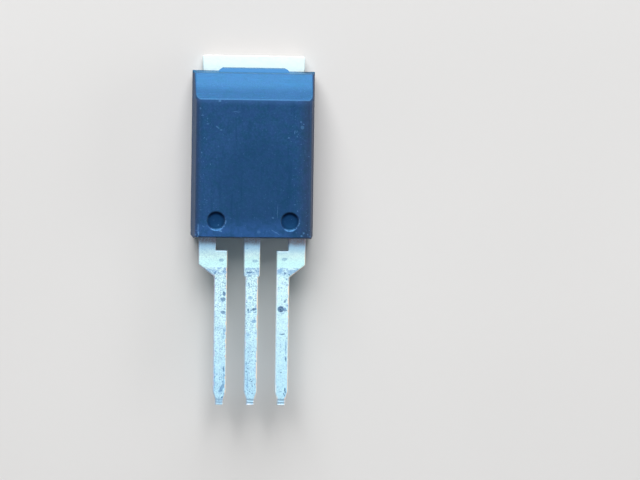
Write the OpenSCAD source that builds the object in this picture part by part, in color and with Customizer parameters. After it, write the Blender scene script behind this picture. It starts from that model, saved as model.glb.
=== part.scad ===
// Power transistor in a clip-mount moulded package with three leads and no mounting hole.
// It lies on its heat spreader: the exposed face is z = 0 and its centre is the origin.
// X runs across the case, Y towards the heat spreader's tab, Z towards the front face.

/* [Moulded case] */
// Width of the case at its widest, at the side parting line
case_w = 10.05; // [9.8:0.05:11]
// Thickness from the heat spreader's face to the front face
case_t = 4.5; // [4.3:0.1:5]
// Case left below the heat spreader, towards the leads
case_foot = 1.5; // [1.5:0.1:2]
// Step from the heat spreader's face back to the case's own back face
back_step = 0.05; // [0.02:0.01:0.15]
// Draft of the long side walls, in degrees
side_draft = 5.5; // [2:0.5:8]
// Draft of the wall over the tab, in degrees
tab_end_draft = 9; // [2:0.5:12]
// Draft of the wall that the leads leave through, in degrees
lead_end_draft = 5; // [2:0.5:7]
// Rounding of the front face's long edges
front_edge_r = 0.3; // [0.1:0.05:0.4]
// Rounding of the front face's edge above the leads
end_edge_r = 0.1; // [0.05:0.05:0.3]

/* [Clip bevel and tongue] */
// Length of the bevel as seen from the front
bevel_l = 2.12; // [1.5:0.01:3]
// Depth to which the bevel falls below the front face
bevel_drop = 1.6; // [1:0.1:2]
// Width of the tongue where it leaves the wall over the tab
tongue_root_w = 5.7; // [3:0.1:7]
// Width of the tongue at its tip
tongue_tip_w = 5.1; // [2.5:0.1:5.6]
// Reach of the tongue over the tab
tongue_out = 0.26; // [0.15:0.01:0.6]
// Height of the tongue where it leaves the wall, above the tab
tongue_root_h = 0.9; // [0.75:0.05:1.2]
// Height of the tongue's nose above the tab
tongue_nose_h = 0.6; // [0.2:0.05:0.7]
// Rounding of the tongue's outer corners
tongue_corner_r = 0.1; // [0.05:0.01:0.15]

/* [Ejector pin marks] */
// Diameter of each round mark in the front face
pin_mark_d = 1.6; // [1.4:0.05:2]
// Diameter of the marks' flat floor
pin_mark_floor_d = 1.32; // [1:0.01:1.35]
// Depth of the marks
pin_mark_depth = 0.15; // [0.05:0.01:0.2]
// Distance between the two marks
pin_mark_spacing = 6; // [5:0.1:6.6]
// Distance of the marks from the case's lead end
pin_mark_inset = 1.46; // [1.2:0.01:3]

/* [Heat spreader] */
// Width of the heat spreader's exposed face
spreader_w = 8.4; // [8:0.1:8.6]
// Length of the heat spreader's exposed face, with the tab
spreader_l = 13.5; // [13.2:0.1:14.5]
// Thickness of the heat spreader
spreader_t = 1.3; // [1.2:0.05:1.4]
// Length of the tab that stands out of the case
tab_out = 1.27; // [0.8:0.01:1.6]
// Rounding of the tab's corners
tab_corner_r = 0.12; // [0.05:0.01:0.5]
// Reach of the coined ledge that locks the heat spreader in the case
ledge_out = 0.25; // [0.1:0.05:0.35]
// Height of the ledge's underside above the exposed face
ledge_z = 0.5; // [0.3:0.05:0.6]
// Thickness of the ledge
ledge_t = 0.4; // [0.2:0.05:0.5]
// Width of the moisture groove across the heat spreader
groove_w = 0.5; // [0.2:0.05:0.8]
// Depth of the moisture groove
groove_depth = 0.2; // [0.1:0.05:0.3]
// Distance of the groove from the wall over the tab
groove_inset = 1.2; // [0.8:0.1:1.8]

/* [Leads] */
// Distance between the lead centres at their tips
lead_pitch = 2.54; // [2.4:0.01:2.6]
// Length of the leads outside the case
lead_l = 13.65; // [12.5:0.05:14.5]
// Width of a lead's long shaft
lead_w = 1.05; // [0.9:0.01:1.2]
// Thickness of the lead strip
lead_t = 0.8; // [0.7:0.05:0.85]
// Height of the leads' underside above the exposed face
lead_z = 2.5; // [2.45:0.05:2.6]
// Width of a lead's tip
tip_w = 0.66; // [0.5:0.01:0.8]
// Length of the narrow tip
tip_land = 0.45; // [0.2:0.05:1]
// Length of the taper from the shaft to the tip
tip_taper = 0.62; // [0.3:0.02:1.5]
// Width of the middle lead beside the case
neck_w = 1.33; // [1.25:0.01:1.5]
// Length of the middle lead's wide stretch
neck_l = 3.05; // [2:0.05:4]
// Length of the step from the wide stretch to the shaft
neck_taper = 0.15; // [0.05:0.05:0.6]
// Distance of the outer leads' inner edge from the middle where they leave the case
exit_in = 2.96; // [2.9:0.01:3.1]
// Distance of the outer leads' outer edge from the middle
exit_out = 4.36; // [4.2:0.01:4.45]
// Distance from the case to the outer leads' inner shoulder
shoulder_l = 0.98; // [0.6:0.01:1.5]
// Distance from the case to the end of the outer leads' straight outer edge
flank_l = 2.16; // [1.8:0.01:2.6]
// Distance from the case to the start of the outer leads' shaft
shaft_start = 3.16; // [2.8:0.01:4]
// Rounding of the stamped corners of the leads
lead_corner_r = 0.08; // [0.03:0.01:0.1]

/* [Bond posts inside the case] */
// Length of the narrow stretch between a bond post and the case's wall
post_neck = 0.35; // [0.2:0.05:0.4]
// Length of the bond posts
post_l = 1.2; // [1:0.05:1.4]
// Distance of the source post's inner edge from the middle
source_post_in = 1.85; // [1.7:0.05:2]
// Distance of the gate post's inner edge from the middle
gate_post_in = 2.5; // [1.8:0.05:2.9]
// Case left beside the bond posts, measured from the case's widest line
post_cover = 0.5; // [0.45:0.01:0.55]
// Distance from the case's lead end to the end of the middle lead's bend
bend_inset = 0.55; // [0.5:0.05:0.6]
// Slope of the middle lead between the heat spreader and the lead plane, in degrees
bend_slope = 65; // [60:1:70]
// Inner radius of the middle lead's bends
bend_r = 0.2; // [0.1:0.05:0.3]

/* [Die and bond wires] */
// Width of the silicon die
die_w = 6; // [5.6:0.1:6.6]
// Length of the silicon die
die_l = 6.6; // [6:0.1:7]
// Thickness of the silicon die
die_t = 0.25; // [0.15:0.01:0.35]
// Distance from the heat spreader's lead end to the die
die_inset = 1.9; // [1.8:0.1:2.2]
// Thickness of the solder under the die
solder_t = 0.06; // [0.03:0.01:0.12]
// Reach of the solder beyond the die on every side
solder_out = 0.15; // [0.05:0.05:0.3]
// Diameter of each source bond wire
source_wire_d = 0.38; // [0.3:0.01:0.4]
// Distance between neighbouring source wires
source_wire_pitch = 0.62; // [0.61:0.01:0.65]
// Number of source wires
source_wires = 4; // [2:1:4]
// Diameter of the gate bond wire
gate_wire_d = 0.2; // [0.12:0.01:0.3]
// Sideways place on the die of the middle of the source bonds
source_bond_x = 0.95; // [0.6:0.05:1.2]
// Distance of the source bonds from the die's lead-side edge
source_bond_inset = 1.5; // [1.2:0.1:3]
// Distance of the gate bond from the die's two nearest edges
gate_bond_inset = 1; // [0.6:0.1:1.4]
// Height of the wires' crowns above their bonds on the posts
loop_rise = 0.4; // [0.3:0.05:0.5]

/* [Hidden] */
arc_steps = 6;
mark_fn = 96;
past = 1;
plastic_colour = [0.16, 0.26, 0.38];
tin_colour = [0.86, 0.9, 0.92];
solder_colour = [0.62, 0.64, 0.66];
silicon_colour = [0.35, 0.36, 0.4];
aluminium_colour = [0.8, 0.81, 0.83];

// Places along Y, from the exposed face's centre
spreader_y0 = -spreader_l / 2;
tab_y = spreader_l / 2;
case_y0 = spreader_y0 - case_foot;
case_y1 = tab_y - tab_out;
tip_y = case_y0 - lead_l;
post_y0 = case_y0 + post_neck;
post_bond_y = post_y0 + post_l / 2;
die_y0 = spreader_y0 + die_inset;
source_bond_y = die_y0 + source_bond_inset;

// Heights above the exposed face
side_parting_z = spreader_t;
lead_mid_z = lead_z + lead_t / 2;
post_top_z = lead_z + lead_t;
die_z = spreader_t + solder_t;
die_top_z = die_z + die_t;
bevel_low_z = case_t - bevel_drop;
bevel_y1 = case_y1 - (bevel_low_z - side_parting_z) * tan(tab_end_draft);
bevel_y0 = bevel_y1 - bevel_l;

// Bond proportions, as multiples of a wire's diameter, and the crown's place along the free wire
foot_l_ratio = 2.2;
foot_w_ratio = 1.3;
foot_h_ratio = 0.6;
wire_bend_ratio = 1.3;
crown_start = 0.45;
crown_end = 0.72;
wire_sides = 12;
wire_steps = 3;
flat_side_ratio = sin(90 - 180 / wire_sides);

post_out = case_w / 2 - post_cover;
source_post_x = (source_post_in + post_out) / 2;
gate_post_x = (gate_post_in + post_out) / 2;

function source_wire_name(i) = str("source_bond_wire_", i);
function length_of(v) = sqrt(v * v);
function unit(v) = v / length_of(v);
function angle_of(v) = atan2(v[1], v[0]);
function turn_between(a, b) = (b - a + 540) % 360 - 180;

// Points of the arc of radius r that rounds the corner p between its neighbours
function corner_arc(before, p, after, r, steps) =
    let (u = unit(before - p), v = unit(after - p), half = acos(u * v) / 2,
         centre = p + unit(u + v) * r / sin(half),
         start = angle_of(p + u * r / tan(half) - centre),
         turn = turn_between(start, angle_of(p + v * r / tan(half) - centre)))
    [for (i = [0:steps]) centre + r * [cos(start + turn * i / steps), sin(start + turn * i / steps)]];

// Outline through [x, y, corner radius] points
function rounded_outline(corners) =
    let (n = len(corners))
    [for (i = [0:n - 1])
        let (c = corners[i], p = [c[0], c[1]],
             before = [corners[(i + n - 1) % n][0], corners[(i + n - 1) % n][1]],
             after = [corners[(i + 1) % n][0], corners[(i + 1) % n][1]])
        each c[2] > 0 ? corner_arc(before, p, after, c[2], arc_steps) : [p]];

// A [y, z] outline drawn out across the part, in the middle of X
module across(width) {
    rotate([90, 0, 90]) linear_extrude(height = width, center = true) children();
}

// An [x, z] outline drawn out along Y
module along(y_from, y_to) {
    translate([0, y_to, 0]) rotate([90, 0, 0]) linear_extrude(height = y_to - y_from) children();
}

// Section across the case: widest at the side parting line, drafted up and down from it
module case_section() {
    half = case_w / 2;
    back_half = half - (side_parting_z - back_step) * tan(side_draft);
    front_half = half - (case_t - side_parting_z) * tan(side_draft);
    polygon(rounded_outline([
        [-back_half, back_step, 0], [back_half, back_step, 0], [half, side_parting_z, 0],
        [front_half, case_t, front_edge_r], [-front_half, case_t, front_edge_r], [-half, side_parting_z, 0]
    ]));
}

// Section along the case: parting line at the leads' middle and at the tab, bevel for the clip
module case_profile() {
    back_y0 = case_y0 + (lead_mid_z - back_step) * tan(lead_end_draft);
    front_y0 = case_y0 + (case_t - lead_mid_z) * tan(lead_end_draft);
    back_y1 = case_y1 - (side_parting_z - back_step) * tan(side_draft);
    polygon(rounded_outline([
        [back_y0, back_step, 0], [back_y1, back_step, 0], [case_y1, side_parting_z, 0],
        [bevel_y1, bevel_low_z, 0], [bevel_y0, case_t, 0], [front_y0, case_t, end_edge_r],
        [case_y0, lead_mid_z, 0]
    ]));
}

// Low tongue of plastic that reaches from the end wall over the tab, with a drafted nose and a sloped top
module tongue() {
    inside_y = case_y1 - tongue_root_h;
    nose_y = case_y1 + tongue_out;
    intersection() {
        translate([0, 0, spreader_t]) linear_extrude(height = tongue_root_h) polygon(rounded_outline([
            [-tongue_root_w / 2, inside_y, 0], [-tongue_root_w / 2, case_y1, 0],
            [-tongue_tip_w / 2, nose_y, tongue_corner_r], [tongue_tip_w / 2, nose_y, tongue_corner_r],
            [tongue_root_w / 2, case_y1, 0], [tongue_root_w / 2, inside_y, 0]
        ]));
        across(tongue_root_w + past) polygon([
            [inside_y, spreader_t], [nose_y, spreader_t],
            [nose_y - tongue_nose_h * tan(tab_end_draft), spreader_t + tongue_nose_h],
            [case_y1 - tongue_root_h * tan(tab_end_draft), spreader_t + tongue_root_h],
            [inside_y, spreader_t + tongue_root_h]
        ]);
    }
}

// Shallow round dishes with a flat floor and a sloped wall
module pin_marks() {
    widening = (pin_mark_d - pin_mark_floor_d) / pin_mark_depth;
    height = pin_mark_depth + past;
    for (side = [-1, 1])
        translate([side * pin_mark_spacing / 2, case_y0 + pin_mark_inset, case_t - pin_mark_depth])
            cylinder(d1 = pin_mark_floor_d, d2 = pin_mark_floor_d + widening * height, h = height, $fn = mark_fn);
}

module case_form() {
    difference() {
        union() {
            intersection() {
                along(case_y0 - past, case_y1 + past) case_section();
                across(case_w + past) case_profile();
            }
            tongue();
        }
        pin_marks();
    }
}

// The case is moulded round everything else, so each insert leaves its own seat
module moulded_case() {
    color(plastic_colour) difference() {
        case_form();
        drain_header();
        gate_lead();
        source_lead();
        die_attach_solder();
        silicon_die();
        gate_bond_wire();
        for (i = [1:source_wires]) source_bond_wire(i);
    }
}

// Plate under the die, with the tab at one end and the coined ledge inside the case
module spreader_plate() {
    half = spreader_w / 2;
    groove_y = case_y1 - groove_inset;
    difference() {
        union() {
            linear_extrude(height = spreader_t) polygon(rounded_outline([
                [-half, spreader_y0, 0], [half, spreader_y0, 0],
                [half, tab_y, tab_corner_r], [-half, tab_y, tab_corner_r]
            ]));
            translate([-half - ledge_out, spreader_y0 - ledge_out, ledge_z])
                cube([spreader_w + 2 * ledge_out, case_y1 - groove_inset - spreader_y0 + ledge_out, ledge_t]);
        }
        across(spreader_w + 2 * ledge_out + past) polygon([
            [groove_y - groove_w / 2, spreader_t], [groove_y, spreader_t - groove_depth],
            [groove_y + groove_w / 2, spreader_t], [groove_y, spreader_t + past]
        ]);
    }
}

// Strip that rises from the plate to the lead plane, seen from the side
module bend_profile() {
    rise = lead_mid_z - (spreader_t - lead_t / 2);
    high_y = case_y0 + bend_inset;
    low_y = high_y + rise / tan(bend_slope);
    mitre = lead_t / 2 * tan(bend_slope / 2);
    root_y = spreader_y0 + die_inset / 2;
    outer_r = bend_r + lead_t;
    polygon(rounded_outline([
        [root_y, spreader_t - lead_t, 0], [root_y, spreader_t, 0],
        [low_y + mitre, spreader_t, bend_r], [high_y + mitre, post_top_z, outer_r],
        [case_y0, post_top_z, 0], [case_y0, lead_z, 0],
        [high_y - mitre, lead_z, bend_r], [low_y - mitre, spreader_t - lead_t, outer_r]
    ]));
}

// Corners of a lead's tapered tip about a given x, down its left side and up its right side
function tip_corners(x) =
    let (tip_start = tip_y + tip_land, taper_start = tip_start + tip_taper)
    [[x - lead_w / 2, taper_start, lead_corner_r], [x - tip_w / 2, tip_start, lead_corner_r],
     [x - tip_w / 2, tip_y, 0], [x + tip_w / 2, tip_y, 0],
     [x + tip_w / 2, tip_start, lead_corner_r], [x + lead_w / 2, taper_start, lead_corner_r]];

// Flat strip in the lead plane
module lead_strip(corners) {
    translate([0, 0, lead_z]) linear_extrude(height = lead_t) polygon(rounded_outline(corners));
}

// Heat spreader, its bend and the middle lead are one piece of copper
module drain_header() {
    neck_end = case_y0 - neck_l;
    step_end = neck_end - neck_taper;
    color(tin_colour) union() {
        spreader_plate();
        across(neck_w) bend_profile();
        lead_strip(concat(
            [[-neck_w / 2, case_y0, 0], [-neck_w / 2, neck_end, lead_corner_r], [-lead_w / 2, step_end, lead_corner_r]],
            tip_corners(0),
            [[lead_w / 2, step_end, lead_corner_r], [neck_w / 2, neck_end, lead_corner_r], [neck_w / 2, case_y0, 0]]
        ));
    }
}

// Outer lead on the +X side, with its bond post inside the case
module outer_lead(post_in) {
    shoulder_y = case_y0 - shoulder_l;
    lead_strip(concat(
        [[post_in, post_y0 + post_l, 0], [post_in, post_y0, 0], [exit_in, post_y0, 0],
         [exit_in, shoulder_y, lead_corner_r], [lead_pitch - lead_w / 2, shoulder_y, lead_corner_r]],
        tip_corners(lead_pitch),
        [[lead_pitch + lead_w / 2, case_y0 - shaft_start, lead_corner_r],
         [exit_out, case_y0 - flank_l, lead_corner_r], [exit_out, post_y0, 0],
         [post_out, post_y0, 0], [post_out, post_y0 + post_l, 0]]
    ));
}

module source_lead() {
    color(tin_colour) outer_lead(source_post_in);
}

module gate_lead() {
    color(tin_colour) mirror([1, 0, 0]) outer_lead(gate_post_in);
}

// A plate over the die's place, larger than the die by out on every side
module die_plate(out, thickness) {
    translate([-die_w / 2 - out, die_y0 - out, 0]) cube([die_w + 2 * out, die_l + 2 * out, thickness]);
}

module die_attach_solder() {
    color(solder_colour) translate([0, 0, spreader_t]) die_plate(solder_out, solder_t);
}

module silicon_die() {
    color(silicon_colour) translate([0, 0, die_z]) die_plate(0, die_t);
}

// Centre line of a looped wire in its own [s, z] plane, from one bond's end to the other's
function loop_line(span, d) =
    let (foot = d * foot_l_ratio, free = span - foot, axis = flat_side_ratio * d * foot_h_ratio / 2,
         crown_z = post_top_z + axis + loop_rise,
         knots = [[-foot / 2, die_top_z + axis], [foot / 2, die_top_z + axis],
                  [foot / 2 + free * crown_start, crown_z], [foot / 2 + free * crown_end, crown_z],
                  [span - foot / 2, post_top_z + axis], [span + foot / 2, post_top_z + axis]])
    [knots[0], for (i = [1:4]) each corner_arc(knots[i - 1], knots[i], knots[i + 1], d * wire_bend_ratio, wire_steps),
     knots[5]];

// Heading of the centre line at point i
function heading_at(line, i) = angle_of(line[min(i + 1, len(line) - 1)] - line[max(i - 1, 0)]);

// Ring of points round the centre line, with a flat side down
function wire_ring(centre, heading, half_w, half_h) = [
    for (k = [0:wire_sides - 1])
        let (a = 360 / wire_sides * (k + 0.5), up = half_h * sin(a))
        [centre[0] - up * sin(heading), half_w * cos(a), centre[1] + up * cos(heading)]
];

// Wire looped from a bond on the die to a bond on a post: it lies flattened on both and is round in between
module bond_wire(die_bond, post_bond, d) {
    line = loop_line(length_of(post_bond - die_bond), d);
    n = len(line);
    rings = [for (i = [0:n - 1])
        let (heading = i == 0 || i == n - 1 ? 0 : heading_at(line, i),
             lift = line[i][1] - (i < n / 2 ? die_top_z : post_top_z),
             half_h = min(d / 2, lift / flat_side_ratio / cos(heading)),
             flat = (1 - half_h * 2 / d) / (1 - foot_h_ratio))
        each wire_ring(line[i], heading, d / 2 * (1 + (foot_w_ratio - 1) * flat), half_h)];
    sides = [for (i = [0:n - 2], k = [0:wire_sides - 1])
        let (a = i * wire_sides + k, b = i * wire_sides + (k + 1) % wire_sides)
        each [[a, a + wire_sides, b], [b, a + wire_sides, b + wire_sides]]];
    ends = [[for (k = [0:wire_sides - 1]) k], [for (k = [wire_sides - 1:-1:0]) (n - 1) * wire_sides + k]];
    color(aluminium_colour) translate([die_bond[0], die_bond[1], 0])
        rotate([0, 0, angle_of(post_bond - die_bond)]) polyhedron(points = rings, faces = concat(sides, ends));
}

module gate_bond_wire() {
    bond_wire([-die_w / 2 + gate_bond_inset, die_y0 + gate_bond_inset], [-gate_post_x, post_bond_y], gate_wire_d);
}

module source_bond_wire(i) {
    offset_x = (i - (source_wires + 1) / 2) * source_wire_pitch;
    bond_wire([source_bond_x + offset_x, source_bond_y], [source_post_x + offset_x, post_bond_y], source_wire_d);
}

moulded_case();
drain_header();
gate_lead();
source_lead();
die_attach_solder();
silicon_die();
gate_bond_wire();
for (i = [1:source_wires])
    source_bond_wire(i);
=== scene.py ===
import math

import bmesh
import bpy
from mathutils import Matrix, Vector, noise


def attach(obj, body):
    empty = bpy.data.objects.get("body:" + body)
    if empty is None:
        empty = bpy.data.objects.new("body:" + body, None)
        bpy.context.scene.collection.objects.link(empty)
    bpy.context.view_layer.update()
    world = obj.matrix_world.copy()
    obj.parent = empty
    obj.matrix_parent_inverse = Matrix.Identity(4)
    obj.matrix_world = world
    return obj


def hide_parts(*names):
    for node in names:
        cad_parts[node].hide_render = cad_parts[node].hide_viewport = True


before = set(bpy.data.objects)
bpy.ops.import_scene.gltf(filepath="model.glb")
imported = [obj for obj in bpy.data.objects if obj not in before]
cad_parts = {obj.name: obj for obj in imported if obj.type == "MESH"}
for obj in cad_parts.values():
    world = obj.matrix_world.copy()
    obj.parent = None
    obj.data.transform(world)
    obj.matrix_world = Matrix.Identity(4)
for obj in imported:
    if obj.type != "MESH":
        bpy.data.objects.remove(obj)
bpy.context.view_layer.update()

# Lengths are in millimetres here, as in the CAD source, and turned into metres when a mesh is made
MM = 0.001

# Places and sizes shared with the CAD source, first of the case
CASE_W, CASE_T, BACK_STEP = 10.05, 4.5, 0.05
CASE_Y0, CASE_Y1, PARTING_Z = -8.25, 5.48, 1.3
SIDE_DRAFT, TAB_END_DRAFT, LEAD_END_DRAFT = math.radians(5.5), math.radians(9), math.radians(5)
BEVEL_LOW_Z = 2.9
BEVEL_Y1 = CASE_Y1 - (BEVEL_LOW_Z - PARTING_Z) * math.tan(TAB_END_DRAFT)
TONGUE_ROOT_W, TONGUE_TIP_W, TONGUE_OUT, TONGUE_ROOT_H, TONGUE_NOSE_H = 5.7, 5.1, 0.26, 0.9, 0.6
MARK_R, MARK_FLOOR_R, MARK_DEPTH, MARK_X, MARK_Y = 0.8, 0.66, 0.15, 3.0, CASE_Y0 + 1.46

# The heat spreader with its tab, its locking ledge and its moisture groove
PLATE_W, PLATE_Y0, PLATE_T, TAB_Y = 8.4, -6.75, 1.3, 6.75
LEDGE_OUT, LEDGE_Z, LEDGE_T = 0.25, 0.5, 0.4
GROOVE_Y, GROOVE_W, GROOVE_DEPTH = CASE_Y1 - 1.2, 0.5, 0.2

# The leads
LEAD_Z, LEAD_T, TIP_Y = 2.5, 0.8, -21.9
LEAD_MID_Z, LEAD_TOP_Z = LEAD_Z + LEAD_T / 2, LEAD_Z + LEAD_T
LEAD_PITCH, LEAD_W, TIP_W, TIP_LAND, TIP_TAPER = 2.54, 1.05, 0.66, 0.45, 0.62
EXIT_IN, EXIT_OUT, SHOULDER_L, FLANK_L, SHAFT_START = 2.96, 4.36, 0.98, 2.16, 3.16
NECK_W, NECK_L, NECK_TAPER = 1.33, 3.05, 0.15
POST_OUT, POST_NECK, POST_L, GATE_POST_IN, SOURCE_POST_IN = 4.525, 0.35, 1.2, 2.5, 1.85
BEND_INSET, BEND_SLOPE, BEND_R = 0.55, math.radians(65), 0.2

# The scene's own sizes: bevel as it shows between rounded edges, edge radii, flash on the parting line
BEVEL_Y0 = BEVEL_Y1 - 2.15
FRONT_EDGE_R, BACK_EDGE_R, END_EDGE_R, BEVEL_EDGE_R, SHARP_EDGE_R = 0.4, 0.08, 0.1, 0.06, 0.045
FLASH_OUT, FLASH_CREST, FLASH_ROOT, FLASH_DENT = 0.015, 0.008, 0.03, 0.002

# Space round the metal in the case, depth of the case's slots, and reach of a cutter past a face
POCKET_GAP, SLOT_DEPTH, PAST = 0.025, 0.3, 1

# The end of the smooth plating; beyond it the leads are dipped in solder, which is this thick and this uneven
DIP_Y, SOLDER_T, SOLDER_LUMP = -10.64, 0.006, 0.012

# Mesh of a lead: steps along x, y and z, with finer rows at the pinched tip
GRID_X, GRID_Y, GRID_Z = 0.11, 0.11, 0.2
TIP_ROW, TIP_ROWS = 0.03, 16

# Height of a pinched tip's front over the flat strip, against the distance from its end
TIP_RELIEF = [
    (0, -0.012), (0.03, -0.012), (0.08, -0.03), (0.17, -0.03),
    (0.25, 0), (0.33, -0.02), (0.4, -0.02), (0.48, 0),
]

# Sides of a turned solid
LATHE_STEPS = 96


def unit(v):
    return v / v.length


def rounded(corners, steps=5):
    """Outline through (a, b, corner radius) points."""
    points = []
    for i, (a, b, r) in enumerate(corners):
        p = Vector((a, b))
        if r == 0:
            points.append(p)
            continue
        u = unit(Vector(corners[i - 1][:2]) - p)
        v = unit(Vector(corners[(i + 1) % len(corners)][:2]) - p)
        half = u.angle(v) / 2
        centre = p + unit(u + v) * r / math.sin(half)
        first = p + u * r / math.tan(half) - centre
        last = p + v * r / math.tan(half) - centre
        turn = math.atan2(first.x * last.y - first.y * last.x, first.dot(last))
        for k in range(steps + 1):
            points.append(centre + Matrix.Rotation(turn * k / steps, 2) @ first)
    return points


def rectangle(a0, a1, b0, b1):
    return [(a0, b0), (a1, b0), (a1, b1), (a0, b1)]


def mesh_object(name, bm):
    bmesh.ops.recalc_face_normals(bm, faces=bm.faces)
    mesh = bpy.data.meshes.new(name)
    bm.to_mesh(mesh)
    bm.free()
    obj = bpy.data.objects.new(name, mesh)
    bpy.context.scene.collection.objects.link(obj)
    return obj


def prism_mesh(outline, axis, low, high):
    """Outline drawn out along an axis: (y, z) along x, (x, z) along y or (x, y) along z."""
    bm = bmesh.new()
    place = {
        "x": lambda a, b, t: (t, a, b),
        "y": lambda a, b, t: (a, t, b),
        "z": lambda a, b, t: (a, b, t),
    }[axis]
    rings = [[bm.verts.new(Vector(place(a, b, t)) * MM) for a, b in outline] for t in (low, high)]
    count = len(outline)
    for i in range(count):
        j = (i + 1) % count
        bm.faces.new((rings[0][i], rings[0][j], rings[1][j], rings[1][i]))
    bm.faces.new(rings[0])
    bm.faces.new(rings[1])
    bmesh.ops.recalc_face_normals(bm, faces=bm.faces)
    return bm


def prism(name, outline, axis, low, high):
    return mesh_object(name, prism_mesh(outline, axis, low, high))


def cut_along(bm, point, normal, **settings):
    """Cuts every face that a plane through the point meets; lengths are in metres."""
    geometry = bm.verts[:] + bm.edges[:] + bm.faces[:]
    return bmesh.ops.bisect_plane(bm, geom=geometry, plane_co=point, plane_no=normal, **settings)


def cut_off(bm, point, normal):
    """Removes what lies beyond a plane and closes the cut."""
    made = cut_along(bm, Vector(point) * MM, normal, dist=1e-8, clear_outer=True)
    rim = [e for e in made["geom_cut"] if isinstance(e, bmesh.types.BMEdge)]
    bmesh.ops.contextual_create(bm, geom=rim)


def apply_modifier(obj, kind, settings):
    modifier = obj.modifiers.new(kind, kind)
    for name, value in settings.items():
        setattr(modifier, name, value)
    graph = bpy.context.evaluated_depsgraph_get()
    made = bpy.data.meshes.new_from_object(obj.evaluated_get(graph), depsgraph=graph)
    obj.modifiers.clear()
    obj.data = made
    return obj


def combine(obj, others, operation):
    for other in others:
        apply_modifier(obj, "BOOLEAN", {"object": other, "operation": operation, "solver": "MANIFOLD"})
        bpy.data.objects.remove(other)
    return obj


def bevel_settings(width):
    return {
        "width": width * MM,
        "segments": 3,
        "limit_method": "ANGLE",
        "angle_limit": math.radians(25),
        "use_clamp_overlap": False,
    }


def smooth(obj):
    for polygon in obj.data.polygons:
        polygon.use_smooth = True
    return apply_modifier(obj, "WEIGHTED_NORMAL", {"weight": 80, "mode": "FACE_AREA"})


# The moulded case


def case_section():
    """Section across the case: drafted sides, rounded long edges and a thin flash on the parting line."""
    half = CASE_W / 2
    back_half = half - (PARTING_Z - BACK_STEP) * math.tan(SIDE_DRAFT)
    front_half = half - (CASE_T - PARTING_Z) * math.tan(SIDE_DRAFT)
    dent, crest = half - FLASH_DENT, half + FLASH_OUT
    right = [
        (back_half, BACK_STEP, BACK_EDGE_R),
        (dent, PARTING_Z - FLASH_ROOT, 0), (crest, PARTING_Z - FLASH_CREST, 0),
        (crest, PARTING_Z + FLASH_CREST, 0), (dent, PARTING_Z + FLASH_ROOT, 0),
        (front_half, CASE_T, FRONT_EDGE_R),
    ]
    left = [(-x, z, r) for x, z, r in reversed(right)]
    return rounded(right + left, 6)


def end_edge_radius(edge, front_y0):
    """Rounding of an edge of the end walls: wider at the front's lead end and at the bevel's lower edge."""
    if all(BEVEL_Y0 - 0.05 < v.co.y / MM < BEVEL_Y0 + 0.6 and v.co.z / MM > CASE_T - 0.4 for v in edge.verts):
        return BEVEL_EDGE_R
    if all(abs(v.co.y / MM - front_y0) < 0.05 and v.co.z / MM > CASE_T - 0.01 for v in edge.verts):
        return END_EDGE_R
    return SHARP_EDGE_R


def case_body():
    """Drafted body: the section drawn out along the case, cut by the end walls and the bevel."""
    back_y0 = CASE_Y0 + (LEAD_MID_Z - BACK_STEP) * math.tan(LEAD_END_DRAFT)
    front_y0 = CASE_Y0 + (CASE_T - LEAD_MID_Z) * math.tan(LEAD_END_DRAFT)
    back_y1 = CASE_Y1 - (PARTING_Z - BACK_STEP) * math.tan(SIDE_DRAFT)
    tab_end = [(back_y1, BACK_STEP), (CASE_Y1, PARTING_Z), (BEVEL_Y1, BEVEL_LOW_Z), (BEVEL_Y0, CASE_T)]
    lead_end = [(front_y0, CASE_T), (CASE_Y0, LEAD_MID_Z), (back_y0, BACK_STEP)]
    bm = prism_mesh(case_section(), "y", CASE_Y0 - PAST, CASE_Y1 + PAST)
    for end in (tab_end, lead_end):
        for (ya, za), (yb, zb) in zip(end, end[1:]):
            cut_off(bm, (0, ya, za), (0, zb - za, ya - yb))
    weight = bm.edges.layers.float.new("bevel_weight_edge")
    for edge in bm.edges:
        lengthways = abs((edge.verts[0].co - edge.verts[1].co).normalized().y) > 0.999
        if lengthways or len(edge.link_faces) != 2 or edge.calc_face_angle() < math.radians(15):
            continue
        edge[weight] = end_edge_radius(edge, front_y0) / END_EDGE_R
    settings = bevel_settings(END_EDGE_R)
    settings["limit_method"] = "WEIGHT"
    return apply_modifier(mesh_object("case_body", bm), "BEVEL", settings)


def case_tongue():
    """Low tongue of plastic over the tab, with a drafted nose and a sloped top."""
    inside_y, nose_y = CASE_Y1 - 1.2, CASE_Y1 + TONGUE_OUT
    root, tip, flare = TONGUE_ROOT_W / 2, TONGUE_TIP_W / 2, 0.06
    right = [(root, inside_y, 0), (root + flare, CASE_Y1, 0.3), (tip, nose_y, 0.15)]
    left = [(-x, y, r) for x, y, r in reversed(right)]
    bm = prism_mesh(rounded(right + left), "z", PARTING_Z + 0.01, PARTING_Z + TONGUE_ROOT_H)
    lean = math.tan(TAB_END_DRAFT)
    nose_top_y, root_top_y = nose_y - TONGUE_NOSE_H * lean, CASE_Y1 - TONGUE_ROOT_H * lean
    top_slope = (0, TONGUE_ROOT_H - TONGUE_NOSE_H, nose_top_y - root_top_y)
    cut_off(bm, (0, nose_y, PARTING_Z), (0, 1, lean))
    cut_off(bm, (0, nose_top_y, PARTING_Z + TONGUE_NOSE_H), top_slope)
    return apply_modifier(mesh_object("tongue", bm), "BEVEL", bevel_settings(0.05))


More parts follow.
